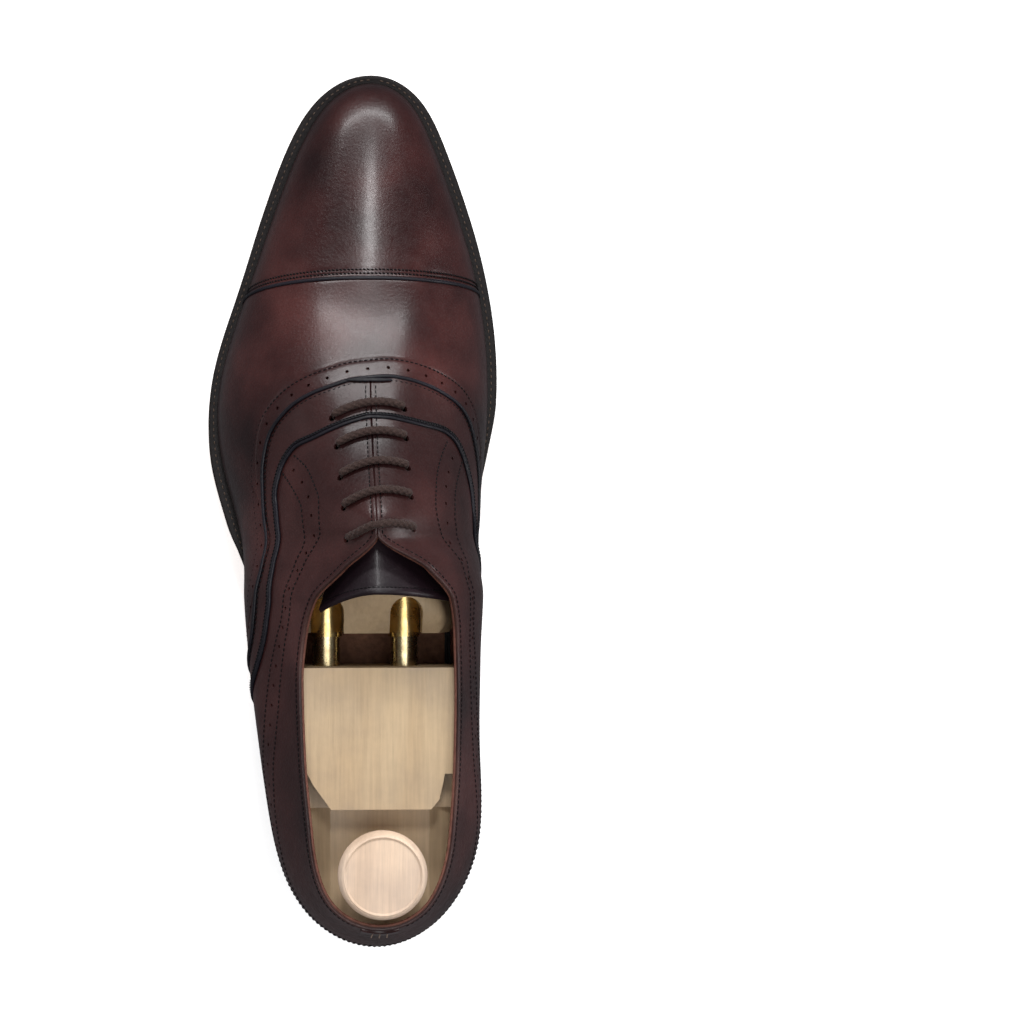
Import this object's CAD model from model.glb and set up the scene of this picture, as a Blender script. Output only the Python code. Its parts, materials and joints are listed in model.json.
import json
import math
from math import pi

import bmesh
import bpy
import numpy as np
from mathutils import Matrix, Vector

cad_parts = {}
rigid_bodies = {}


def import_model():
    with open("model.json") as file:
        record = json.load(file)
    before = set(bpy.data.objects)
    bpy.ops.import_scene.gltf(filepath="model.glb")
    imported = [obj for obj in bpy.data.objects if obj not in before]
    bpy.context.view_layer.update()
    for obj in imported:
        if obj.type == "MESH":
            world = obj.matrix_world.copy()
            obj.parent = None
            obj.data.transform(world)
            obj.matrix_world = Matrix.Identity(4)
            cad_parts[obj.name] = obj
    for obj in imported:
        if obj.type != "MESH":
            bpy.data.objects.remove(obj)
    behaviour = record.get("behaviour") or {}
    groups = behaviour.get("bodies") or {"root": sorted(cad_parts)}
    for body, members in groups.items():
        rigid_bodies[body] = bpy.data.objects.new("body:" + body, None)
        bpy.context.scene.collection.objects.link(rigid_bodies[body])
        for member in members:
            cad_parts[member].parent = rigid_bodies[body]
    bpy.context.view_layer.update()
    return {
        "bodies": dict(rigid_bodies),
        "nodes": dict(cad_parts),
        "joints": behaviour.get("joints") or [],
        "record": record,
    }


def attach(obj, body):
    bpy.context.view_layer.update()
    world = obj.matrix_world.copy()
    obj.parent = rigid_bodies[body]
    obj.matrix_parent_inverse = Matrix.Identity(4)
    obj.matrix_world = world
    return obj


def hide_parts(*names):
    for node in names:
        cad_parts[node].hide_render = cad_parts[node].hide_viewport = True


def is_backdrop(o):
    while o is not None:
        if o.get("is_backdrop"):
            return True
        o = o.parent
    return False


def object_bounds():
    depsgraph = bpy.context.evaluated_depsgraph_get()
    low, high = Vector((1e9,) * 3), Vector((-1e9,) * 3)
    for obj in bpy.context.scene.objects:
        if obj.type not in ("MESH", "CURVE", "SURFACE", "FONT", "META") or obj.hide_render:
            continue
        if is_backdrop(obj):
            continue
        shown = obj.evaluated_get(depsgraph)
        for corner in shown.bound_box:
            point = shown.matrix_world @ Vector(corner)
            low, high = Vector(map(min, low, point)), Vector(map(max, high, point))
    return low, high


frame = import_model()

# Finished looks of a left cap-toe oxford and its shoe tree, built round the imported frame. Shapes are
# worked out in millimetres in the row frame (+Y towards the toe, +X towards the medial side, +Z up)
# and turned into metres when a mesh is made.
MM = 0.001

Y_HEEL = -118.5          # centre of the round heel
Y_NOSE = 60.0            # ahead of this the stations close up towards the tip
Y_TIP = 147.7            # feather line at the tip of the toe
TURN_FROM, TURN_TO = 20.0, 80.0   # stations over which the heel turns into the straight side
UPPER = 1.2              # thickness of the outer leather


# ---------------------------------------------------------------- curves through knots
class Smooth:
    """Natural cubic spline through (x, y) knots."""

    def __init__(self, knots):
        x, y = np.array(knots, float).T
        n = len(x)
        h = np.diff(x)
        matrix = np.eye(n)
        right = np.zeros(n)
        for i in range(1, n - 1):
            matrix[i, i - 1:i + 2] = h[i - 1], 2 * (h[i - 1] + h[i]), h[i]
            right[i] = 6 * ((y[i + 1] - y[i]) / h[i] - (y[i] - y[i - 1]) / h[i - 1])
        self.x, self.y, self.h, self.bend = x, y, h, np.linalg.solve(matrix, right)

    def __call__(self, at):
        i = np.clip(np.searchsorted(self.x, at) - 1, 0, len(self.h) - 1)
        h = self.h[i]
        a = (self.x[i + 1] - at) / h
        b = 1 - a
        curve = (a ** 3 - a) * self.bend[i] + (b ** 3 - b) * self.bend[i + 1]
        return a * self.y[i] + b * self.y[i + 1] + curve * h ** 2 / 6


class Steady:
    """Cubic curve through (x, y) knots that never overshoots them."""

    def __init__(self, knots):
        x, y = np.array(knots, float).T
        h = np.diff(x)
        d = np.diff(y) / h
        slope = np.zeros(len(x))
        for i in range(1, len(x) - 1):
            if d[i - 1] * d[i] > 0:
                w1 = 2 * h[i] + h[i - 1]
                w2 = h[i] + 2 * h[i - 1]
                slope[i] = (w1 + w2) / (w1 / d[i - 1] + w2 / d[i])
        self.x, self.y, self.h, self.slope = x, y, h, slope

    def __call__(self, at):
        i = np.clip(np.searchsorted(self.x, at) - 1, 0, len(self.h) - 1)
        h = self.h[i]
        s = np.clip((at - self.x[i]) / h, 0, 1)
        ends = self.y[i] * (1 + 2 * s) * (1 - s) ** 2 + self.y[i + 1] * s * s * (3 - 2 * s)
        return ends + h * (self.slope[i] * s * (1 - s) ** 2 - self.slope[i + 1] * s * s * (1 - s))


# ---------------------------------------------------------------- the last
# A station is a signed distance round the shoe: 0 at the back of the heel, negative down the
# lateral side, positive down the medial side. Height runs from 0 at the feather line to 1 at
# the ridge of the instep or, further back, at the topline.
TURN_RADIUS = (TURN_FROM + TURN_TO) / pi
Y_SIDE = Y_HEEL + (TURN_TO - TURN_FROM) / 2
NOSE_LENGTH = Y_TIP - Y_NOSE
S_NOSE = TURN_TO + Y_NOSE - Y_SIDE
S_TIP = S_NOSE + NOSE_LENGTH * pi / 2


def station(y):
    if y > Y_NOSE:
        return S_NOSE + NOSE_LENGTH * np.arcsin(min(1, (y - Y_NOSE) / NOSE_LENGTH))
    return y - Y_SIDE + TURN_TO


def travelled(s):
    x = np.clip((s - TURN_FROM) / (TURN_TO - TURN_FROM), 0, 1)
    return (TURN_TO - TURN_FROM) * (x ** 3 - x ** 4 / 2) + np.maximum(s - TURN_TO, 0)


def axis_point(s):
    """Y on the centre line, and the angle of the half-plane from straight back."""
    s = np.abs(s)
    y = Y_HEEL + travelled(s)
    nose = Y_NOSE + NOSE_LENGTH * np.sin(np.clip((s - S_NOSE) / NOSE_LENGTH, 0, pi / 2))
    angle = np.where(s > TURN_TO, pi / 2, (s - travelled(s)) / TURN_RADIUS)
    return np.where(s > S_NOSE, nose, y), angle


centre = Smooth([(-118.5, 6.8), (-60, 6.5), (0, 5.2), (45, 4.4), (85, 5.4), (147.7, 6.5)])

# Each row is a half section: station or Y, feather half-breadth and height, how far and how high
# the lower curve handle lies, top half-breadth and height, and the upper handle out and down.
HEEL_BACK = ((0, 28.5, 34.0, 8.5, .42, 22.5, 89.0, 3.0, 22),)
LATERAL = (
    (30, 27.5, 34.0, 8.5, .42, 22.5, 86.5, 4.5, 20),
    (58, 30.5, 33.8, 12.0, .42, 24.0, 82.0, 6.0, 18),
    (station(-85), 32.0, 33.0, 15.5, .33, 26.0, 76.5, 9.0, 20),
    (station(-60), 33.5, 30.6, 18.5, .31, 26.6, 74.5, 10.5, 20),
    (station(-42), 36.0, 27.2, 18.0, .28, 24.8, 77.5, 11.0, 21),
    (station(-31), 38.5, 24.8, 15.5, .26, 21.5, 82.5, 12.0, 21),
    (station(-20), 41.3, 22.0, 11.0, .25, 11.0, 90.5, 13.5, 17),
    (station(-9), 44.0, 19.0, 6.5, .27, 0.2, 96.5, 14.5, 9),
    (station(12), 49.5, 14.0, 3.0, .34, 0.0, 83.5, 17.0, 2.5),
    (station(40), 51.0, 11.0, 2.0, .45, 0.0, 66.5, 23.0, 0),
    (station(70), 43.3, 10.0, 2.0, .50, 0.0, 50.5, 24.0, 0),
    (station(100), 33.8, 11.0, 2.0, .55, 0.0, 42.5, 19.5, 0),
    (station(124), 25.0, 13.0, 1.5, .60, 0.0, 37.0, 14.5, 0),
    (station(139.5), 15.8, 15.0, 1.0, .62, 0.0, 31.0, 9.5, 0),
    (S_TIP, 0.0, 16.5, 0.0, .62, 0.0, 17.5, 0.0, 0),
)
MEDIAL = (
    (30, 27.5, 34.0, 8.5, .42, 22.5, 87.5, 4.5, 20),
    (58, 31.0, 33.8, 11.0, .42, 25.0, 84.0, 5.5, 18),
    (station(-85), 31.5, 33.0, 9.5, .42, 26.8, 80.0, 5.5, 18),
    (station(-60), 29.0, 30.6, 12.5, .42, 27.4, 78.5, 7.0, 18),
    (station(-42), 29.0, 27.2, 14.0, .42, 27.0, 81.0, 8.0, 16),
    (station(-31), 30.8, 24.8, 13.5, .42, 25.5, 85.5, 9.0, 14),
    (station(-20), 33.0, 22.0, 11.5, .42, 16.5, 91.5, 12.0, 10),
    (station(-9), 35.2, 19.0, 9.0, .42, 0.2, 96.5, 17.0, 5),
    (station(12), 39.3, 14.0, 6.0, .42, 0.0, 83.5, 18.5, 1),
    (station(40), 42.6, 11.0, 3.0, .45, 0.0, 66.5, 21.0, 0),
    (station(70), 40.0, 10.0, 2.0, .50, 0.0, 50.5, 22.0, 0),
    (station(100), 31.5, 11.0, 2.0, .55, 0.0, 42.5, 18.0, 0),
    (station(124), 22.5, 13.0, 1.5, .60, 0.0, 37.0, 13.0, 0),
    (station(139.5), 14.5, 15.0, 1.0, .62, 0.0, 31.0, 8.5, 0),
    (S_TIP, 0.0, 16.5, 0.0, .62, 0.0, 17.5, 0.0, 0),
)
TOP_BREADTH = 5


def section_curves():
    """One curve over the signed stations for each column of the two tables."""
    curves = []
    for column in range(1, 9):
        knots = [(-row[0], row[column]) for row in LATERAL[::-1]]
        knots += [(row[0], row[column]) for row in HEEL_BACK + MEDIAL]
        curves.append(Steady(knots) if column == TOP_BREADTH else Smooth(knots))
    return curves


SECTION = section_curves()


def last(s, h):
    """Points of the outside of the upper at station s and height h."""
    s, h = np.broadcast_arrays(np.asarray(s, float), np.asarray(h, float))
    foot_r, foot_z, out, share, top_r, top_z, top_out, top_down = [c(s) for c in SECTION]
    y, angle = axis_point(s)
    rise = top_z - foot_z
    b0 = (1 - h) ** 3
    b1 = 3 * h * (1 - h) ** 2
    b2 = 3 * h * h * (1 - h)
    b3 = h ** 3
    r = b0 * foot_r + b1 * (foot_r + out) + b2 * (top_r + top_out) + b3 * top_r
    z = b0 * foot_z + b1 * (foot_z + share * rise) + b2 * (top_z - top_down) + b3 * top_z
    side = np.where(s < 0, -1.0, 1.0)
    return np.stack([centre(y) + side * np.sin(angle) * r, y - np.cos(angle) * r, z], -1)


def across(s, u):
    """Station and height of a point that runs from the lateral feather line (u = -1) over the
    ridge (u = 0) to the medial one (u = 1)."""
    return np.where(u < 0, -s, s), 1 - np.abs(u)


def as_is(s, h):
    return s, h


# ---------------------------------------------------------------- distances over the section
REACH_AT = np.linspace(-S_TIP, S_TIP, 801)
SECTIONS = last(REACH_AT[:, None], np.linspace(0, 1, 60)[None, :])
REACHES = np.linalg.norm(np.diff(SECTIONS, axis=1), axis=-1).sum(axis=1)
OPEN_FROM = -2.0         # Y behind which the slit opens and the top edge swings down


def reach(s):
    """Length in mm of the section at a signed station, from the feather line to the top edge."""
    return np.interp(s, REACH_AT, REACHES)


def closed_reach(s):
    """The same, as if the ridge carried on behind the slit."""
    return reach(np.sign(s) * np.maximum(np.abs(s), station(OPEN_FROM)))


def in_mm(a, b, frame):
    """Second coordinate of a point on the leather as a distance, so that lines stay smooth where
    the top edge does not."""
    if frame is as_is:
        return b * reach(a)
    s = np.where(b < 0, -a, a)
    return np.sign(b) * (closed_reach(s) - (1 - np.abs(b)) * reach(s))


def from_mm(a, mm, frame):
    if frame is as_is:
        return mm / reach(a)
    s = np.where(mm < 0, -a, a)
    return np.sign(mm) * (1 - (closed_reach(s) - np.abs(mm)) / reach(s))


# ---------------------------------------------------------------- seams
# Height of each seam by station, one list of (Y, height) for each side.
CAP_LINE_Y, CAP_SWEEP = 78.3, (6.8, 4.6)
VAMP_SEAM = {
    -1: ((-65, 0), (-60, .15), (-52.8, .34), (-44, .47), (-33.6, .50), (-23.5, .455), (-13, .40),
         (-2.4, .385), (8, .41), (17.7, .45), (24.6, .495), (29.6, .55), (34.7, .63), (38.5, .725),
         (41, .82), (43, .91), (43.8, 1)),
    1: ((-47, 0), (-35, .07), (-20, .14), (-6, .19), (8, .245), (16.3, .29), (23.2, .34),
        (29.2, .395), (34.7, .48), (38.3, .58), (41.5, .70), (43.4, .81), (44.2, .91), (44.4, 1)),
}
PANEL_SEAM = {
    -1: ((-74, 0), (-70, .14), (-63.8, .344), (-56, .532), (-46.9, .629), (-39.5, .655),
         (-30.4, .635), (-23.5, .56), (-9.3, .465), (2, .468), (11.3, .515), (16.3, .56),
         (20.5, .62), (23.2, .706), (26.4, .806), (28.9, .906), (30.3, 1)),
    1: ((-58, 0), (-45, .11), (-30, .19), (-16.6, .25), (-6, .30), (5.4, .36), (12.2, .405),
        (17.7, .45), (23.2, .52), (26, .60), (27.4, .70), (28.9, .806), (30.1, .916), (30.7, 1)),
}
# Where on the cap line (u) each stretch of the vamp seam is ruled to, by the same points.
VAMP_FAN = {
    -1: (-1, -.98, -.96, -.94, -.92, -.90, -.88, -.85, -.81, -.75, -.68, -.60, -.49, -.36,
         -.23, -.11, 0),
    1: (1, .975, .95, .93, .90, .87, .82, .75, .64, .50, .34, .20, .09, 0),
}


def seam_height(seam, side):
    curve = Steady([(station(y), h * float(reach(side * station(y)))) for y, h in seam[side]])
    return lambda s: curve(np.abs(s)) / reach(side * np.abs(s))


def cap_station(u):
    sweep = np.where(u < 0, CAP_SWEEP[0], CAP_SWEEP[1])
    y = CAP_LINE_Y - sweep * u * u
    return S_NOSE + NOSE_LENGTH * np.arcsin((y - Y_NOSE) / NOSE_LENGTH)


def path(points, frame):
    """Smooth curve, as a function of 0 to 1, through points given as (station, height)."""
    points = np.array(points, float)
    steps = np.hypot(np.diff(points[:, 0]), 60 * np.diff(points[:, 1]))
    along = np.concatenate([[0], np.cumsum(steps)]) / steps.sum()
    first = Steady(list(zip(along, points[:, 0])))
    second = Steady(list(zip(along, in_mm(points[:, 0], points[:, 1], frame))))
    return lambda t: (first(t), from_mm(first(t), second(t), frame)), along


# By Y: ridge height, then half-breadth and drop on the lateral and on the medial side.
TONGUE_ROWS = ((43, 57.0, 12, 2.6, 12, 3.0), (30, 63.5, 14, 6.0, 14, 5.8),
               (12, 74.6, 14, 9.0, 15, 9.5), (-4, 85.0, 14, 13.0, 16, 13.0),
               (-16, 89.5, 15, 16.0, 19, 17.0), (-29, 94.0, 19.5, 18.0, 25, 16.5))
TONGUE_THICKNESS = 1.8
TONGUE_SOFT = .04        # rounds the middle of the tongue
TONGUE_END_SWEEP = (6.2, 2.2)   # how far back the free end's lateral and medial corners lie

# Height of the feather line by Y.
FEATHER_ROWS = ((-152, 34.0), (-118, 34.0), (-85, 33.0), (-60, 30.6), (-42, 27.2), (-31, 24.8),
                (-20, 22.0), (-9, 19.0), (12, 14.0), (40, 11.0), (70, 10.0), (100, 11.0),
                (124, 13.0), (139.5, 15.0), (147.7, 16.5), (153, 17.6))

# By lace bar, from the vamp up: Y and height of the lateral and of the medial eyelet.
EYELET_ROWS = ((29.6, .806, 32.8, .819), (20.0, .813, 22.8, .809), (9.5, .809, 12.7, .803),
               (-0.6, .809, 3.1, .796), (-11.1, .826, -7.5, .779))


# ---------------------------------------------------------------- the leather surface
def unit(v):
    return v / np.maximum(np.linalg.norm(v, axis=-1, keepdims=True), 1e-9)


def surface(s, h, depth=0.0):
    """Points `depth` below the outside of the leather, and the outward normals there."""
    s = np.clip(np.asarray(s, float), -S_TIP + .02, S_TIP - .02)
    h = np.asarray(h, float)
    ds = last(s + .15, h) - last(s - .15, h)
    dh = last(s, np.minimum(h + .004, 1)) - last(s, np.maximum(h - .004, 0))
    normal = unit(np.cross(ds, dh))
    return last(s, h) - normal * np.asarray(depth)[..., None], normal


def curve_through(points, frame, count=900):
    """Stations and heights of a smooth line, evenly spaced in millimetres."""
    run, _ = path(points, frame)
    a, b = run(np.linspace(0, 1, 1500))
    places = last(*frame(a, b))
    travel = np.concatenate([[0], np.cumsum(np.linalg.norm(np.diff(places, axis=0), axis=1))])
    even = np.linspace(0, travel[-1], count)
    return np.interp(even, travel, a), np.interp(even, travel, b)


def beside(line, distance, frame, steps=5):
    """The line that runs `distance` mm to the left of another one, seen from outside."""
    a, b = line
    top = 1.0 if frame is as_is else 9.0
    for _ in range(steps):
        places, normal = surface(*frame(a, b))
        left = np.cross(normal, unit(np.gradient(places, axis=0)))
        high, low = np.minimum(b + .004, top), b - .004
        by_a = (last(*frame(a + .2, b)) - last(*frame(a - .2, b))) / .4
        by_b = (last(*frame(a, high)) - last(*frame(a, low))) / (high - low)[:, None]
        aa, ab, bb = (by_a * by_a).sum(-1), (by_a * by_b).sum(-1), (by_b * by_b).sum(-1)
        ga, gb = (by_a * left).sum(-1), (by_b * left).sum(-1)
        det = np.maximum(aa * bb - ab * ab, 1e-9)
        step = distance / steps
        a = a + step * (ga * bb - gb * ab) / det
        b = b + step * (gb * aa - ga * ab) / det
    return a, b


def on_leather(line, frame, lift=0.0):
    """Points and normals along a line, `lift` mm above the leather."""
    return surface(*frame(*line), np.full(len(line[0]), -lift))


def even(places, normals, pitch, start=0.5):
    """Points `pitch` mm apart along a polyline, with tangents and normals."""
    travel = np.concatenate([[0], np.cumsum(np.linalg.norm(np.diff(places, axis=0), axis=1))])
    at = np.arange(start * pitch, travel[-1] - .3 * pitch, pitch)
    pick = lambda v: np.stack([np.interp(at, travel, v[:, i]) for i in range(3)], -1)
    tangents = np.gradient(places, axis=0)
    return pick(places), unit(pick(tangents)), unit(pick(normals))


# ---------------------------------------------------------------- meshes
def make_mesh(name, points, faces, smooth=True):
    """Object from points in millimetres."""
    mesh = bpy.data.meshes.new(name)
    mesh.from_pydata((np.asarray(points, float) * MM).tolist(), [], faces)
    mesh.validate()
    if smooth:
        mesh.shade_smooth()
    obj = bpy.data.objects.new(name, mesh)
    bpy.context.scene.collection.objects.link(obj)
    return obj


def grid_quads(rows, cols, start=0, flip=False):
    i = np.arange(rows - 1)[:, None] * cols + np.arange(cols - 1)[None, :] + start
    quads = np.stack([i, i + cols, i + cols + 1, i + 1], -1).reshape(-1, 4)
    return (quads[:, ::-1] if flip else quads).tolist()


def slab(name, outer, inner):
    """Closed sheet between two grids of points."""
    rows, cols = outer.shape[:2]
    size = rows * cols
    faces = grid_quads(rows, cols) + grid_quads(rows, cols, size, flip=True)
    index = np.arange(size).reshape(rows, cols)
    rims = [index[0, :], index[:, -1], index[-1, ::-1], index[::-1, 0]]
    for rim in rims:
        for one, two in zip(rim[:-1], rim[1:]):
            faces.append([int(one), int(two), int(two + size), int(one + size)])
    obj = make_mesh(name, np.concatenate([outer.reshape(-1, 3), inner.reshape(-1, 3)]), faces)
    face_outwards(obj)
    return obj


def face_outwards(obj):
    shape = bmesh.new()
    shape.from_mesh(obj.data)
    bmesh.ops.recalc_face_normals(shape, faces=shape.faces)
    shape.to_mesh(obj.data)
    shape.free()
    obj.data.set_sharp_from_angle(angle=math.radians(50))


def tube(name, places, normals, wide, high, around=12):
    """Cord with an oval section along a polyline; wide and high are half sizes, numbers or arrays."""
    tangents = unit(np.gradient(places, axis=0))
    normals = unit(normals - (normals * tangents).sum(-1, keepdims=True) * tangents)
    side = np.cross(tangents, normals)
    count = len(places)
    wide, high = np.broadcast_to(wide, count), np.broadcast_to(high, count)
    turn = np.linspace(0, 2 * pi, around, endpoint=False)
    rings = (places[:, None]
             + side[:, None] * (np.cos(turn)[None] * wide[:, None])[..., None]
             + normals[:, None] * (np.sin(turn)[None] * high[:, None])[..., None])
    return ringed(name, rings)


def ringed(name, rings, closed=False):
    """Skin over rings of points; capped at both ends, or joined into a loop."""
    count, around = rings.shape[:2]
    faces = []
    for i in range(count if closed else count - 1):
        for j in range(around):
            k, m = (j + 1) % around, (i + 1) % count
            faces.append([i * around + j, i * around + k, m * around + k, m * around + j])
    if not closed:
        faces.append(list(range(around))[::-1])
        faces.append(list(range((count - 1) * around, count * around)))
    obj = make_mesh(name, rings.reshape(-1, 3), faces)
    face_outwards(obj)
    return obj


STITCH_SECTIONS = ((-.5, 0), (-.47, .5), (-.36, .88), (0, 1), (.36, .88), (.47, .5), (.5, 0))
STITCH_SIDES = 6


def stitches(name, rows, pitch, length, radius, lift=0.12, slant=0.0):
    """Small thread loops along lines. rows are (places, normals) pairs; each stitch is its own solid."""
    points, faces = [], []
    turn = np.linspace(0, 2 * pi, STITCH_SIDES, endpoint=False)
    for places, normals in rows:
        for p, t, n in zip(*even(places, normals, pitch)):
            side = np.cross(t, n)
            run = t * math.cos(slant) + side * math.sin(slant)
            side = np.cross(run, n)
            base = len(points)
            points.append(p + run * length * -.5 + n * (lift - radius * .5))
            for along, thick in STITCH_SECTIONS[1:-1]:
                middle = p + run * (along * length) + n * (lift - radius * .9 * (2 * along) ** 2)
                for angle in turn:
                    points.append(middle + (side * math.cos(angle) + n * math.sin(angle) * .8)
                                  * radius * thick)
            points.append(p + run * length * .5 + n * (lift - radius * .5))
            sections = len(STITCH_SECTIONS) - 2
            end = len(points) - 1
            for j in range(STITCH_SIDES):
                k = (j + 1) % STITCH_SIDES
                faces.append([base, base + 1 + k, base + 1 + j])
                for i in range(sections - 1):
                    a = base + 1 + i * STITCH_SIDES
                    faces.append([a + j, a + k, a + STITCH_SIDES + k, a + STITCH_SIDES + j])
                a = base + 1 + (sections - 1) * STITCH_SIDES
                faces.append([a + j, a + k, end])
    return make_mesh(name, points, faces)


def punch(obj, places, normals, radius, depth, sides=12):
    """Cuts round holes through a closed piece."""
    points, faces = [], []
    turn = np.linspace(0, 2 * pi, sides, endpoint=False)
    for p, n in zip(places, normals):
        one = unit(np.cross(n, [0.0, 1.0, 0.1]))
        two = np.cross(n, one)
        base = len(points)
        for level in (-depth, 1.5):
            for angle in turn:
                points.append(p + n * level + (one * math.cos(angle) + two * math.sin(angle)) * radius)
        for j in range(sides):
            k = (j + 1) % sides
            faces.append([base + j, base + k, base + sides + k, base + sides + j])
        faces.append([base + j for j in range(sides)][::-1])
        faces.append([base + sides + j for j in range(sides)])
    cutter = make_mesh(obj.name + ".cutter", points, faces, smooth=False)
    face_outwards(cutter)
    cut = obj.modifiers.new("holes", "BOOLEAN")
    cut.operation, cut.solver, cut.object = "DIFFERENCE", "MANIFOLD", cutter
    bpy.context.view_layer.update()
    evaluated = obj.evaluated_get(bpy.context.evaluated_depsgraph_get())
    result = bpy.data.meshes.new_from_object(evaluated)
    obj.modifiers.clear()
    obj.data = result
    obj.data.set_sharp_from_angle(angle=math.radians(50))
    bpy.data.objects.remove(cutter)


def finish_piece(obj, body, slot, material, *nodes):
    obj.data.materials.clear()
    obj.data.materials.append(material)
    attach(obj, body)
    if nodes:
        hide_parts(*nodes)
    return obj


# ---------------------------------------------------------------- materials
class Recipe:
    """A material's node tree, written from the shader back to its patterns."""

    def __init__(self, name, **values):
        self.material = bpy.data.materials.new(name)
        self.material.use_nodes = True
        self.tree = self.material.node_tree
        self.shader = self.tree.nodes["Principled BSDF"]
        for key, value in values.items():
            self.shader.inputs[key.replace("_", " ").title().replace("Ior", "IOR")].default_value = value
        self.place = self.tree.nodes.new("ShaderNodeTexCoord").outputs["Object"]
        self.bump = None

    def link(self, out, into):
        self.tree.links.new(out, into)

    def stretched(self, scale):
        node = self.tree.nodes.new("ShaderNodeMapping")
        node.inputs["Scale"].default_value = scale
        self.link(self.place, node.inputs["Vector"])
        return node.outputs["Vector"]

    def noise(self, scale, detail=4, rough=.55, stretch=None, distortion=0.0):
        node = self.tree.nodes.new("ShaderNodeTexNoise")
        node.inputs["Scale"].default_value = scale
        node.inputs["Detail"].default_value = detail
        node.inputs["Roughness"].default_value = rough
        node.inputs["Distortion"].default_value = distortion
        self.link(self.stretched(stretch) if stretch else self.place, node.inputs["Vector"])
        return node.outputs["Fac"]

    def cells(self, scale, feature="F1", stretch=None):
        node = self.tree.nodes.new("ShaderNodeTexVoronoi")
        node.feature = feature
        node.inputs["Scale"].default_value = scale
        self.link(self.stretched(stretch) if stretch else self.place, node.inputs["Vector"])
        return node.outputs["Distance"]

    def ramp(self, value, *stops):
        node = self.tree.nodes.new("ShaderNodeValToRGB")
        bar = node.color_ramp.elements
        while len(bar) < len(stops):
            bar.new(.5)
        for element, (place, colour) in zip(bar, stops):
            element.position = place
            element.color = (*colour, 1) if len(colour) == 3 else colour
        self.link(value, node.inputs["Fac"])
        return node.outputs["Color"]

    def grey(self, value, low, high, at=(0.3, 0.7)):
        return self.ramp(value, (at[0], (low,) * 3), (at[1], (high,) * 3))

    def mix(self, share, one, two, kind="MIX"):
        node = self.tree.nodes.new("ShaderNodeMix")
        node.data_type, node.blend_type = "RGBA", kind
        for socket, value in ((node.inputs["Factor"], share), (node.inputs[6], one),
                              (node.inputs[7], two)):
            if isinstance(value, bpy.types.NodeSocket):
                self.link(value, socket)
            elif socket.type == "RGBA":
                socket.default_value = (*value, 1)
            else:
                socket.default_value = value
        return node.outputs[2]

    def axis(self, name):
        node = self.tree.nodes.new("ShaderNodeSeparateXYZ")
        self.link(self.place, node.inputs[0])
        return node.outputs[name]

    def between(self, value, low, high):
        node = self.tree.nodes.new("ShaderNodeMapRange")
        node.interpolation_type = "SMOOTHSTEP"
        node.inputs["From Min"].default_value = low
        node.inputs["From Max"].default_value = high
        self.link(value, node.inputs["Value"])
        return node.outputs["Result"]

    def raised(self, height, distance, strength=1.0):
        node = self.tree.nodes.new("ShaderNodeBump")
        node.inputs["Distance"].default_value = distance
        node.inputs["Strength"].default_value = strength
        self.link(height, node.inputs["Height"])
        if self.bump is not None:
            self.link(self.bump, node.inputs["Normal"])
        self.bump = node.outputs["Normal"]
        self.link(self.bump, self.shader.inputs["Normal"])

    def colour(self, out):
        self.link(out, self.shader.inputs["Base Color"])

    def roughness(self, out):
        self.link(out, self.shader.inputs["Roughness"])


def calf(name, dark, middle, light, gloss=.34, coat=.30, grain=1.0):
    """Polished calf: burnished in uneven clouds, with a very fine grain."""
    r = Recipe(name, roughness=gloss, specular_ior_level=.30, coat_weight=coat, coat_roughness=.22)
    clouds = r.noise(26, 3, .5)
    colour = r.ramp(clouds, (.34, dark), (.52, middle), (.70, light))
    burnish = r.between(r.axis("Z"), .010, .034)
    colour = r.mix(burnish, dark, colour)
    flecks = r.grey(r.noise(1500, 2, .6), .86, 1.10)
    r.colour(r.mix(1.0, colour, flecks, "MULTIPLY"))
    r.roughness(r.grey(r.noise(420, 3, .6), gloss - .05, gloss + .09))
    r.raised(r.noise(2100, 3, .6), .00006 * grain)
    r.raised(r.cells(900), .00005 * grain)
    return r.material


def thread(name, colour, shine=.5):
    r = Recipe(name, roughness=shine, specular_ior_level=.15)
    twist = r.noise(3500, 2, .5, stretch=(1, .35, 1))
    r.colour(r.mix(twist, tuple(c * .6 for c in colour), colour))
    r.raised(twist, .00008)
    return r.material


def braid(name, dark, light):
    """Waxed cotton lace."""
    r = Recipe(name, roughness=.72, specular_ior_level=.2, sheen_weight=.06, sheen_roughness=.5)
    fibres = r.noise(2600, 4, .7)
    r.colour(r.ramp(fibres, (.3, dark), (.7, light)))
    r.raised(fibres, .00012)
    return r.material


def wood(name, dark, middle, light, gloss=.5, lines=1.0):
    """Fine-grained pale wood, with its grain along Y."""
    r = Recipe(name, roughness=gloss)
    broad = r.noise(1.0, 5, .55, stretch=(34, 5, 34), distortion=.8)
    fine = r.noise(1.0, 4, .65, stretch=(900, 40, 900))
    smudge = r.noise(45, 4, .6)
    colour = r.ramp(broad, (.30, dark), (.46, middle), (.66, light))
    streaks = r.grey(fine, 1 - .14 * lines, 1.06, (.35, .65))
    colour = r.mix(1.0, colour, streaks, "MULTIPLY")
    worn = r.ramp(smudge, (.3, (.80, .79, .80)), (.66, (1.05, 1.04, 1.02)))
    r.colour(r.mix(1.0, colour, worn, "MULTIPLY"))
    r.roughness(r.grey(smudge, gloss - .06, gloss + .12))
    r.raised(fine, .00008)
    return r.material


def polished_brass(name, dark, middle, light):
    r = Recipe(name, metallic=1.0, roughness=.24)
    stain = r.noise(90, 5, .65)
    r.colour(r.ramp(stain, (.30, dark), (.50, middle), (.72, light)))
    r.roughness(r.grey(stain, .32, .20))
    r.raised(r.noise(700, 2, .5), .000012)
    return r.material


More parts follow.
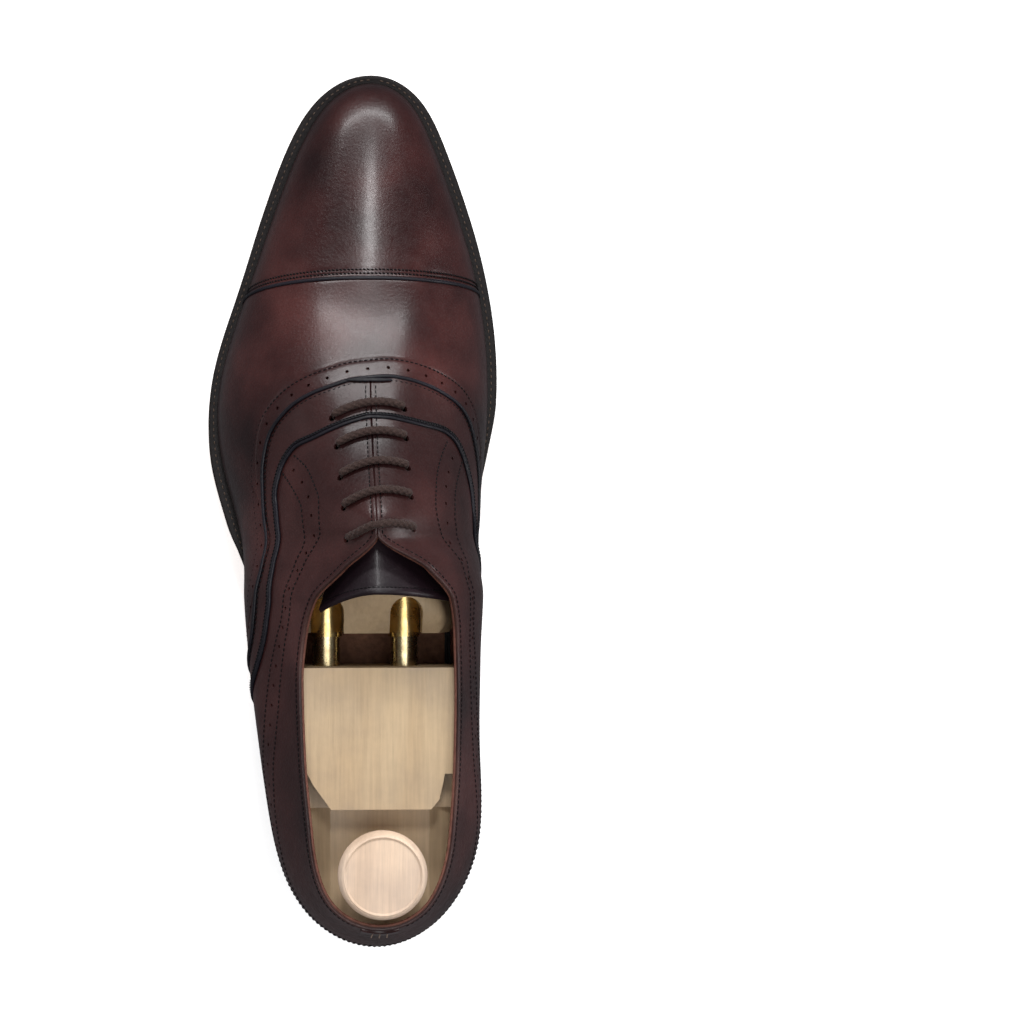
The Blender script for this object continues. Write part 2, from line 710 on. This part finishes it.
def steel():
    r = Recipe("steel", metallic=1.0, roughness=.32)
    streaks = r.noise(1.0, 3, .6, stretch=(300, 2500, 300))
    r.colour(r.ramp(streaks, (.3, (.42, .42, .43)), (.7, (.60, .60, .61))))
    r.raised(streaks, .00003)
    return r.material


def sole_leather():
    """Black inked edges, with natural tan leather on the underside."""
    r = Recipe("sole_leather", roughness=.45)
    facing = r.tree.nodes.new("ShaderNodeNewGeometry").outputs["True Normal"]
    split = r.tree.nodes.new("ShaderNodeSeparateXYZ")
    r.link(facing, split.inputs[0])
    under = r.between(split.outputs["Z"], -.55, -.85)
    fibre = r.noise(300, 5, .65)
    tan = r.ramp(fibre, (.3, (.25, .115, .045)), (.7, (.38, .20, .09)))
    ink = r.ramp(fibre, (.3, (.008, .006, .006)), (.7, (.022, .016, .015)))
    r.colour(r.mix(under, ink, tan))
    r.raised(fibre, .0001)
    r.raised(r.noise(1.0, 2, .5, stretch=(60, 60, 1600)), .0001)
    return r.material


def plain_grained(name, dark, light, gloss, scale=500, depth=.0001):
    """A matt piece with an even fine grain, such as rubber, cork, felt or lining leather."""
    r = Recipe(name, roughness=gloss, specular_ior_level=.2)
    grain = r.noise(scale, 5, .65)
    r.colour(r.ramp(grain, (.3, dark), (.7, light)))
    r.raised(grain, depth)
    r.raised(r.cells(scale * 1.6), depth * .6)
    return r.material


LEATHER = calf("calf", (.0100, .0022, .0025), (.029, .0068, .0066), (.060, .0160, .0145))
QUARTER_LEATHER = calf("quarter_calf", (.0140, .0038, .0040), (.031, .0088, .0084), (.056, .0175, .0160),
                       .38, .22)
NAVY = calf("piping_leather", (.0026, .0022, .0042), (.0055, .0046, .0085), (.011, .009, .015),
            .50, .06)
TONGUE_LEATHER = calf("tongue_calf", (.0060, .0028, .0048), (.012, .0055, .0085),
                      (.024, .011, .015), .46, .1)
EDGE_LEATHER = calf("folded_edge", (.016, .006, .006), (.034, .013, .012), (.075, .033, .026),
                    .46, .1)
LINING = plain_grained("lining", (.085, .030, .020), (.165, .066, .046), .55, 420)
WELT = plain_grained("welt_black", (.0045, .0033, .0033), (.012, .009, .009), .58, 600, .00008)
DARK_THREAD = thread("dark_thread", (.0035, .0028, .0038), .6)
LIGHT_THREAD = thread("light_thread", (.30, .21, .16))
WELT_THREAD = thread("welt_thread", (.10, .068, .052))
LACE = braid("waxed_lace", (.012, .0062, .0055), (.052, .027, .022))
BLOCK_WOOD = wood("pale_wood", (.37, .255, .145), (.48, .345, .205), (.55, .415, .26), .5, .6)
KNOB_WOOD = wood("knob_wood", (.62, .45, .32), (.72, .54, .40), (.78, .61, .47), .55, .6)
BRASS = polished_brass("brass", (.34, .22, .08), (.62, .45, .18), (.80, .64, .33))
PALE_BRASS = polished_brass("pale_brass", (.34, .26, .14), (.60, .49, .28), (.80, .69, .45))
STEEL = steel()
SOLE = sole_leather()
CORK = plain_grained("cork", (.16, .09, .045), (.30, .19, .10), .85, 350, .0002)
RUBBER = plain_grained("rubber", (.010, .010, .010), (.022, .021, .020), .65, 700)
SOCK = plain_grained("sock", (.11, .048, .026), (.21, .10, .058), .6, 380)
INSOLE = plain_grained("insole", (.10, .055, .030), (.19, .11, .065), .6, 300)

CAD_LOOKS = {
    "insole": INSOLE, "sock_lining": SOCK, "cork_filler": CORK, "shank_cover": CORK,
    "shank": STEEL, "outsole": SOLE, "heel_lift_1": SOLE, "heel_lift_2": SOLE, "heel_lift_3": SOLE,
    "heel_top_piece": RUBBER, "heel_nails": BRASS, "toe_puff": INSOLE, "heel_counter": INSOLE,
    "vamp_lining": LINING, "lateral_quarter_lining": LINING, "medial_quarter_lining": LINING,
    "tree_forepart": BLOCK_WOOD, "tree_heel_block": BLOCK_WOOD, "tree_knob": KNOB_WOOD,
    "tree_knob_screw": STEEL, "tree_outer_tube_lateral": BRASS, "tree_outer_tube_medial": BRASS,
    "tree_inner_tube_lateral": PALE_BRASS, "tree_inner_tube_medial": PALE_BRASS,
    "tree_spring_lateral": STEEL, "tree_spring_medial": STEEL,
}
for node, material in CAD_LOOKS.items():
    data = frame["nodes"][node].data
    data.materials.clear()
    data.materials.append(material)


# ---------------------------------------------------------------- seams and rows on the leather
EDGE_ROLL = 0.55         # radius of a cut edge of the leather
GROOVE = 0.20            # how deep a row of stitches pulls the leather down
HALF_GROOVE = 0.55


def rolled(distance, radius=EDGE_ROLL):
    """How far the leather falls away at a cut edge."""
    x = np.clip(1 - distance / radius, 0, 1)
    return radius * (1 - np.sqrt(np.maximum(1 - x * x, 0)))


def grooved(distance, at, depth=GROOVE, half=HALF_GROOVE):
    return depth * np.exp(-((distance - at) / half) ** 2)


def spread(start, end, rows, near, far, middle, frame):
    """Stations and heights of a grid between two seams, with columns at fixed distances from them:
    near and far list those in mm, and middle more share what is left. Also gives each point's
    distance from the start and from the end."""
    t = np.linspace(0, 1, rows)[:, None]
    fine = np.linspace(0, 1, 121)[None, :]
    a1, b1 = start(t)
    a2, b2 = end(t)
    places = last(*frame(a1 + (a2 - a1) * fine, b1 + (b2 - b1) * fine))
    steps = np.linalg.norm(np.diff(places, axis=1), axis=-1)
    run = np.concatenate([np.zeros((rows, 1)), np.cumsum(steps, axis=1)], axis=1)
    total = run[:, -1:]
    near, far = np.array(near), np.array(far)
    fit = np.minimum(1, .92 * total / (near[-1] + far[-1] + 1e-6))
    left, right = near * fit, total - far[::-1] * fit
    share = np.linspace(0, 1, middle + 2)[None, 1:-1]
    distance = np.concatenate([left, left[:, -1:] + (right[:, :1] - left[:, -1:]) * share, right], 1)
    w = np.array([np.interp(d, r, fine[0]) for d, r in zip(distance, run)])
    s, h = frame(a1 + (a2 - a1) * w, b1 + (b2 - b1) * w)
    return s, h, distance, total - distance


FINE = (0, .1, .22, .38, .6, .85, 1.1, 1.35, 1.6, 1.9, 2.3, 2.8, 3.4)
PLAIN = (0, .12, .3, .6)
BAND = FINE + (4.2, 5.0, 5.6, 6.0, 6.3, 6.6, 6.9, 7.2, 7.8, 8.6)
CAP_ROWS = (1.5, 2.9)    # stitch rows ahead of the cap's edge
BAND_DOTS = 3.1          # perforations and outer stitch row on the vamp, from its edge
BAND_ROW = 6.6
EDGE_ROW = 1.7           # stitch row along the slit and the topline


def leather_piece(name, grid, relief, node, material=LEATHER):
    """Sheet on a grid from spread(); relief gives its depth from the distances to both seams."""
    s, h, near, far = grid
    outer, normal = surface(s, h, relief(near, far))
    inner, _ = surface(s, h, np.full_like(s, UPPER))
    obj = slab(name, outer, inner)
    return finish_piece(obj, "shoe", "upper_leather", material, node)


def toe_cap():
    """From the cap seam to the tip."""
    u = lambda t: 2 * t - 1
    grid = spread(lambda t: (cap_station(u(t)) + .1, u(t)),
                  lambda t: (np.full_like(t, S_TIP - .03), u(t)), 220, FINE, PLAIN, 60, across)
    return leather_piece("upper_toe_cap", grid, lambda near, far: rolled(near, .5)
                         + grooved(near, CAP_ROWS[0]) + grooved(near, CAP_ROWS[1]), "toe_cap")


def vamp():
    """From the vamp seam, over the toes, to just under the cap's edge."""
    seam, fan = [], []
    for side in (-1, 1):
        points = [(station(y), side * (1 - h)) for y, h in VAMP_SEAM[side]]
        partners = list(VAMP_FAN[side])
        seam += points if side < 0 else points[-2::-1]
        fan += partners if side < 0 else partners[-2::-1]
    curve, along = path(seam, across)
    partner = Steady(list(zip(along, fan)))
    grid = spread(curve, lambda t: (cap_station(partner(t)) + .5, partner(t)), 420, BAND,
                  (0, .5, 1.2), 60, across)
    return leather_piece("upper_vamp", grid, lambda near, far: rolled(near) + grooved(near, BAND_ROW)
                         + .35 * np.exp(-(far / 1.2) ** 2), "vamp")


def side_strip(side, s_from, s_to, low, high, rows, near, far, middle):
    def edge(height):
        return lambda t: (side * (s_from + (s_to - s_from) * t), height(s_from + (s_to - s_from) * t))
    return spread(edge(low), edge(high), rows, near, far, middle, as_is)


def tucked(distance):
    """How far a lower edge dips to go under the next piece."""
    return .5 * np.exp(-(distance / 2.2) ** 2)


def panel(side, name):
    """Between the vamp seam and the panel seam."""
    low, high = seam_height(VAMP_SEAM, side), seam_height(PANEL_SEAM, side)
    s_from = station(PANEL_SEAM[side][0][0]) + 2
    s_to = station(VAMP_SEAM[side][-1][0]) - .4
    grid = side_strip(side, s_from, s_to, lambda s: np.minimum(low(s), high(s) - .01),
                      lambda s: np.minimum(high(s), 1.0), 260, FINE, FINE, 16)
    return leather_piece("upper_" + name, grid, lambda near, far: tucked(near)
                         + rolled(far, .45) + grooved(far, EDGE_ROW, .10), name, QUARTER_LEATHER)


def quarter(side, name):
    """From the panel seam and the feather line up to the slit and the topline."""
    seam = seam_height(PANEL_SEAM, side)
    s_to = station(PANEL_SEAM[side][-1][0]) - .3
    grid = side_strip(side, .03, s_to, seam, level(1.0), 330, FINE, FINE, 46)
    return leather_piece("upper_" + name, grid, lambda near, far: tucked(near)
                         + rolled(far, .6) + grooved(far, EDGE_ROW, .12), name, QUARTER_LEATHER)


def level(h):
    return lambda s: np.full_like(s, h)


def seam_line(seam):
    """A seam all the way over the instep, from its lateral to its medial end."""
    lateral = [(station(y), -(1 - h)) for y, h in seam[-1]]
    medial = [(station(y), 1 - h) for y, h in seam[1]][-2::-1]
    return curve_through(lateral + medial, across)


def cap_line():
    u = np.linspace(-1, 1, 41)
    return curve_through([(float(cap_station(x)), x) for x in u], across)


# The curved band on each quarter: its outer and its inner row of stitches, as (Y, height) from the
# panel seam back, then as (station, height) round the heel.
BAND_OUTER = {
    -1: ((11.3, .53), (4.9, .575), (-1.1, .60), (-11.6, .615), (-18.5, .66), (-25.3, .716),
         (-37.3, .786), (-44, .766), (-52, .732), (-60.6, .689), (-69.3, .63), (-79, .55)),
    1: ((15.4, .45), (9, .492), (2.1, .515), (-3.4, .515), (-7.9, .495), (-13, .495), (-18.5, .565),
        (-25.3, .662), (-37, .735), (-52, .70), (-69, .61), (-79, .53)),
    "heel": ((80.5, .46), (72, .42), (63, .40), (54, .38), (40, .35), (20, .33), (0, .32)),
}
BAND_INNER = {
    -1: ((17.3, .60), (13.1, .652), (7.6, .676), (2.1, .69), (-7.9, .683), (-13.4, .685),
         (-18.9, .72), (-25.3, .773), (-38, .853), (-45, .846), (-60.6, .816), (-69, .783),
         (-79, .722)),
    1: ((22.3, .56), (14.5, .615), (6.3, .642), (-.6, .649), (-5.2, .632), (-10.2, .60),
        (-15.7, .61), (-21.2, .662), (-26.3, .729), (-38, .80), (-52, .81), (-69, .76), (-79, .70)),
    "heel": ((80.5, .65), (73, .60), (63, .54), (54, .51), (40, .47), (20, .45), (0, .44)),
}


def band_line(rows, side):
    points = [(side * station(y), h) for y, h in rows[side]]
    points += [(side * s, h) for s, h in rows["heel"]]
    return curve_through(points, as_is)


def dotted(line, frame, pitch, start=0.7):
    places, normals = on_leather(line, frame)
    spots, _, ups = even(places, normals, pitch, start)
    return spots, ups


# ---------------------------------------------------------------- build the upper
PUNCH = 0.60             # radius of a perforation
PUNCH_DEPTH = 2.2
EYELET_HOLE = 1.2
PANEL_RIDGE_Y = 26       # eyelets behind this are in the quarters, the others in the panels
STITCH = dict(pitch=1.8, length=1.35, radius=.26)

toe_cap()
front = vamp()
panels = {side: panel(side, name + "_panel") for side, name in ((-1, "lateral"), (1, "medial"))}
quarters = {side: quarter(side, name + "_quarter") for side, name in ((-1, "lateral"), (1, "medial"))}

vamp_line = seam_line(VAMP_SEAM)
panel_line = seam_line(PANEL_SEAM)
spots, ups = dotted(beside(vamp_line, BAND_DOTS, across), across, 7.1)
inside_band = spots[:, 2] > 16
punch(front, spots[inside_band], ups[inside_band], PUNCH, PUNCH_DEPTH)


def eyelet_spots(side):
    column = 0 if side < 0 else 2
    y = np.array([row[column] for row in EYELET_ROWS])
    h = np.array([row[column + 1] for row in EYELET_ROWS])
    return surface(side * np.array([station(v) for v in y]), h)


for side in (-1, 1):
    outer_line, inner_line = band_line(BAND_OUTER, side), band_line(BAND_INNER, side)
    middle = tuple((one + two) / 2 for one, two in zip(outer_line, inner_line))
    spots, ups = dotted(middle, as_is, 6.9, .6)
    punch(quarters[side], spots, ups, PUNCH, PUNCH_DEPTH)
    holes, ups = eyelet_spots(side)
    high = holes[:, 1] < PANEL_RIDGE_Y
    punch(quarters[side], holes[high], ups[high], EYELET_HOLE, 3)
    punch(panels[side], holes[~high], ups[~high], EYELET_HOLE, 3)


def row_of(line, frame, offset=0.0, lift=0.0):
    return on_leather(beside(line, offset, frame) if offset else line, frame, lift)


def piping(name, line, offset, half_width, half_height, lift, node):
    places, normals = row_of(line, across, offset, lift)
    obj = tube(name, places, normals, half_width, half_height, 14)
    return finish_piece(obj, "shoe", "bead_leather", NAVY, *([node] if node else []))


def sewn(name, rows, material=DARK_THREAD, **sizes):
    obj = stitches(name, rows, **{**STITCH, **sizes})
    return finish_piece(obj, "shoe", "lace_cord", material)


cap_seam = cap_line()
piping("cap_piping", cap_seam, -.2, .62, .5, .05, "cap_bead")
sewn("cap_stitches", [row_of(cap_seam, across, d) for d in CAP_ROWS], pitch=1.35, length=1.1,
     radius=.27, slant=.35)
piping("vamp_piping", vamp_line, -.35, .65, .6, .05, "vamp_bead")
piping("panel_piping", panel_line, -.35, .6, .6, .05, "quarter_bead")
piping("panel_piping_cord", panel_line, .95, .55, .45, .05, None)
sewn("panel_cord_stitches", [row_of(panel_line, across, .95, .5)], pitch=1.2, length=1.05, radius=.24,
     slant=.5)
sewn("vamp_band_stitches", [row_of(vamp_line, across, BAND_ROW, -GROOVE)])
sewn("vamp_edge_stitches", [row_of(vamp_line, across, -1.9, -.15)])
for side, name in ((-1, "lateral"), (1, "medial")):
    rows = [row_of(band_line(lines, side), as_is) for lines in (BAND_OUTER, BAND_INNER)]
    sewn(name + "_quarter_stitches", rows)


def edge_line(side, shift, s_from, s_to, count=700):
    """A line `shift` mm above the edge of the slit and the topline, or below it if negative."""
    line = (side * np.linspace(s_from, s_to, count), np.full(count, 1.0))
    return beside(line, shift * side, as_is)


for side, name in ((-1, "lateral"), (1, "medial")):
    row = edge_line(side, -EDGE_ROW, 12, station(42))
    sewn(name + "_edge_stitches", [on_leather(row, as_is, -.05)], radius=.19)


def folded_edge():
    """The leather's folded edge with the lining's edge inside it, all round the opening."""
    s = np.concatenate([np.linspace(-station(-9.5), 0, 420), np.linspace(0, station(-9.5), 420)[1:]])
    places, normals = surface(s, np.full_like(s, 1.0), np.full_like(s, .55))
    up = np.cross(unit(np.gradient(places, axis=0)), normals) * -1
    up *= np.sign(up[:, 2:3])
    outer = tube("topline_edge", places - up * .2, normals, .5, .55, 12)
    inside = places - normals * 1.1 - up * .5
    inner = tube("topline_lining_edge", inside, normals, .5, .55, 12)
    finish_piece(outer, "shoe", "upper_leather", EDGE_LEATHER, "topline_binding")
    finish_piece(inner, "shoe", "lining_leather", LINING)
    rows = [(inside - normals * .55 - up * 1.3, -normals)]
    sewn("topline_inner_stitches", rows, LIGHT_THREAD, pitch=2.2, length=1.1, radius=.13, lift=.1)


folded_edge()


def back_tab():
    t = np.linspace(-1, 1, 60)[:, None]
    w = np.linspace(0, 1, 24)[None, :]
    s = 8.8 * t + 0 * w
    h = .865 - .012 * np.cos(3 * t) + (.985 - .865) * w
    edge = np.minimum(np.minimum((1 - np.abs(t)) * 8.8 + 0 * w, w * 9), (1 - w) * 9)
    outer, _ = surface(s, h, -.85 + rolled(edge, .5))
    inner, _ = surface(s, h, np.full_like(s, .05))
    finish_piece(slab("heel_tab", outer, inner), "shoe", "upper_leather", LEATHER, "back_tab")
    rows = []
    for shift in (-3.2, 0, 3.2):
        s_line = np.full(30, shift)
        places, normals = surface(s_line, np.linspace(.80, .93, 30), np.full(30, -.9))
        rows.append((places, normals))
    sewn("heel_tab_stitches", rows, LIGHT_THREAD, pitch=1.3, length=1.1, radius=.2)


back_tab()


def bar_tack():
    """Whipped thread across the foot of the slit."""
    u = np.linspace(-.115, .115, 60)
    places, normals = surface(*across(np.full(60, station(42.4)), u), np.full(60, -.55))
    taper = np.sqrt(np.maximum(1 - np.linspace(-1, 1, 60) ** 4, .02))
    finish_piece(tube("bar_tack", places, normals, .75 * taper, .5 * taper, 12), "shoe",
                 "bead_leather", NAVY)


bar_tack()


# ---------------------------------------------------------------- lace
LACE_HALF = (1.3, 1.1)
LACE_BOW = 3.2           # how far the middle of a bar bows towards the toe
LACE_DEPTH = 3.0         # how deep its ends go into the eyelets
LACE_RISE = 4.3
BRAID_PITCH, BRAID_DEPTH = 2.3, .07
LACE_REACH = .004        # the lace comes out at the far side of its eyelets


def lace_bar(order, row):
    y_lat, h_lat, y_med, h_med = row
    t = np.linspace(0, 1, 200)
    u_from, u_to = -(1 - h_lat) - LACE_REACH, 1 - h_med + LACE_REACH
    u = u_from + (u_to - u_from) * t
    y = y_lat + (y_med - y_lat) * t + LACE_BOW * np.sin(pi * t) ** .8
    sigma = np.array([station(v) for v in y])
    dive = np.clip(np.minimum(t, 1 - t) / .06, 0, 1)
    lift = -LACE_DEPTH + LACE_RISE * np.sin(dive * pi / 2) ** .8 + .25 * np.sin(pi * t)
    places, normals = surface(*across(sigma, u), -lift)
    hook = np.clip(1 - dive, 0, 1)
    tangents = unit(np.gradient(places, axis=0))
    side = np.cross(tangents, normals)
    turn = np.linspace(0, 2 * pi, 40, endpoint=False)
    travel = np.concatenate([[0], np.cumsum(np.linalg.norm(np.diff(places, axis=0), axis=1))])
    phase = travel[:, None] * 2 * pi / BRAID_PITCH
    weave = BRAID_DEPTH * (np.cos(phase + 4 * turn[None]) + np.cos(phase - 4 * turn[None]))
    scale = 1 + weave - .10 * hook[:, None]
    out = np.cross(side, tangents)
    rings = (places[:, None]
             + side[:, None] * (np.cos(turn)[None] * LACE_HALF[0] * scale)[..., None]
             + out[:, None] * (np.sin(turn)[None] * LACE_HALF[1] * scale)[..., None])
    obj = ringed(f"lace_bar_{order + 1}", rings)
    return finish_piece(obj, "shoe", "lace_cord", LACE, *(["lace"] if order == 0 else []))


for order, row in enumerate(EYELET_ROWS):
    lace_bar(order, row)


# ---------------------------------------------------------------- tongue
def tongue():
    curves = [Smooth([(row[0], row[c]) for row in TONGUE_ROWS[::-1]]) for c in range(1, 6)]
    rows, cols = 130, 90
    y = np.linspace(TONGUE_ROWS[0][0], TONGUE_ROWS[-1][0], rows)[:, None]
    w = np.linspace(-1, 1, cols)[None, :]
    ridge, lat_r, lat_drop, med_r, med_drop = [curve(y) for curve in curves]
    x = centre(y) + w * np.where(w < 0, lat_r, med_r)
    bow = ((w * w + TONGUE_SOFT) ** .85 - TONGUE_SOFT ** .85) / ((1 + TONGUE_SOFT) ** .85
                                                               - TONGUE_SOFT ** .85)
    z = ridge - np.where(w < 0, lat_drop, med_drop) * bow
    sweep = np.where(w < 0, TONGUE_END_SWEEP[0], TONGUE_END_SWEEP[1])
    y_bent = y - sweep * w * w * np.clip((10 - y) / 39, 0, 1)
    top = np.stack([x, y_bent, z], -1)
    normal = np.cross(np.gradient(top, axis=1), -np.gradient(top, axis=0))
    normal = unit(normal)
    normal *= np.sign(normal[..., 2:3])
    end = (y - TONGUE_ROWS[-1][0]) + 0 * w
    rounding = rolled(end, .8) + grooved(end, 2.2, .14)
    obj = slab("tongue_piece", top - normal * rounding[..., None],
               top - normal * (TONGUE_THICKNESS - rolled(end, .6))[..., None])
    finish_piece(obj, "tongue", "tongue_leather", TONGUE_LEATHER, "tongue")
    row = int(np.argmin(np.abs(end[:, 0] - 2.2)))
    rows = [(top[row, 3:-3] - normal[row, 3:-3] * .1, normal[row, 3:-3])]
    obj = stitches("tongue_stitches", rows, 1.5, 1.2, .17)
    finish_piece(obj, "tongue", "lace_cord", DARK_THREAD)


tongue()


# ---------------------------------------------------------------- welt
WELT_MARGIN = ((-S_TIP, 3.0), (-station(130), 4.2), (-station(100), 3.9), (-station(70), 3.1),
               (-station(37), 3.0), (-station(12), 4.2), (-station(-5), 4.4),
               (-station(-25), 1.8), (-station(-60), 1.3), (-58, 1.5), (0, 1.8), (58, 1.5),
               (station(-60), 1.2), (station(-25), 1.2), (station(5), 1.4), (station(20), 2.4),
               (station(37), 3.8), (station(70), 3.9), (station(100), 4.3),
               (station(130), 4.2), (S_TIP, 3.0))


def sole_ring(count):
    """Even points of the feather line in plan, outward directions, margins and heights."""
    s = np.sin(np.linspace(-pi / 2, pi / 2, 6001)) * S_TIP
    foot = last(s, 0.0)
    travel = np.concatenate([[0], np.cumsum(np.linalg.norm(np.diff(foot[:, :2], axis=0), axis=1))])
    at = np.linspace(0, travel[-1], count, endpoint=False)
    s = np.interp(at, travel, s)
    points = last(s, 0.0)[:, :2]
    ahead = np.roll(points, -3, axis=0) - np.roll(points, 3, axis=0)
    outward = unit(np.stack([ahead[:, 1], -ahead[:, 0]], -1))
    outward *= np.sign(np.sum(outward[count // 2] * (points[count // 2] - [6, 0])))
    margin = Steady(WELT_MARGIN)(s)
    return points, outward, margin, Smooth(FEATHER_ROWS)


def welt():
    points, outward, margin, feather = sole_ring(1200)
    profile = ((-2.4, -.15, 0), (0, -.15, .1), (-.3, -.12, .35), (-.1, -.22, .5), (-.3, -.12, .65),
               (-.5, -.15, 1), (-.2, -.28, 1), (0, -.62, 1), (0, -1.4, 1), (-.12, -2.0, 1),
               (0, -2.6, 1), (0, -3.4, 1), (-.25, -3.75, 1), (-.6, -3.85, 1), (-2.4, -3.85, 0))
    rings = []
    for shift, level_mm, share in profile:
        grow = shift + margin * share
        xy = points + outward * grow[:, None]
        rings.append(np.concatenate([xy, feather(xy[:, 1])[:, None] + level_mm], -1))
    rings = np.stack(rings, 1)
    obj = ringed("welt_strip", rings, closed=True)
    finish_piece(obj, "shoe", "welt_leather", WELT, "welt")
    xy = points + outward * (margin * .5 - .1)[:, None]
    places = np.concatenate([xy, feather(xy[:, 1])[:, None] - .2], -1)
    wide = margin > 1.7
    half = len(places) // 2
    rows = [(part, np.tile([0.0, 0.0, 1.0], (len(part), 1)))
            for part in (places[:half][wide[:half]], places[half:][wide[half:]])]
    sewn("welt_stitches", rows, WELT_THREAD, pitch=2.3, length=1.2, radius=.22, lift=.12)


welt()


# ---------------------------------------------------------------- floor, light and camera
CAMERA_HEIGHT = 1.4
CAMERA_AT = (-.0445, -.00235, CAMERA_HEIGHT)
LOOK_AT = (.057, -.002, 0)
LENS = 139.05


def studio():
    scene = bpy.context.scene
    scene.view_settings.view_transform = "Standard"
    world = bpy.data.worlds.new("studio")
    scene.world = world
    world.use_nodes = True
    world.node_tree.nodes["Background"].inputs["Color"].default_value = (.93, .95, 1, 1)
    world.node_tree.nodes["Background"].inputs["Strength"].default_value = .13
    bpy.ops.mesh.primitive_plane_add(size=6, location=(0, 0, -.0004))
    floor = bpy.context.object
    floor.name = "floor"
    r = Recipe("floor_white", roughness=.9, emission_color=(1, 1, 1, 1), emission_strength=.55)
    r.colour(r.ramp(r.noise(2, 2), (0, (.90, .90, .905)), (1, (.93, .93, .935))))
    floor.data.materials.append(r.material)
    floor.visible_glossy = False
    floor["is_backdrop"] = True


def softbox(name, place, aim, size, power, tint=(1, 1, 1)):
    lamp = bpy.data.lights.new(name, "AREA")
    lamp.shape = "RECTANGLE"
    lamp.size, lamp.size_y = size
    lamp.energy = power
    lamp.color = tint
    obj = bpy.data.objects.new(name, lamp)
    bpy.context.scene.collection.objects.link(obj)
    obj.location = place
    obj.rotation_euler = (Vector(aim) - Vector(place)).to_track_quat("-Z", "Y").to_euler()


def camera():
    data = bpy.data.cameras.new("camera")
    data.lens = LENS
    obj = bpy.data.objects.new("camera", data)
    bpy.context.scene.collection.objects.link(obj)
    obj.location = CAMERA_AT
    ahead = (Vector(LOOK_AT) - Vector(CAMERA_AT)).normalized()
    right = ahead.cross(Vector((0, 1, 0))).normalized()
    up = right.cross(ahead)
    obj.rotation_euler = Matrix((right, up, -ahead)).transposed().to_euler()
    bpy.context.scene.camera = obj


studio()
softbox("toe_strip", (.02, .70, 1.20), (.0, .10, .03), (.22, .26), 6)
softbox("vamp_pool", (-.03, 1.29, .80), (.0, .07, .03), (2.0, .14), 22)
softbox("overhead", (.1, -.40, 1.9), (0, 0, 0), (1.5, .9), 16)
softbox("left_bank", (-1.3, .1, .40), (0, 0, .03), (1.0, .4), .8)
softbox("right_bank", (1.3, -.1, .45), (0, 0, .03), (.9, .4), 6)
camera()

low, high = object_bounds()
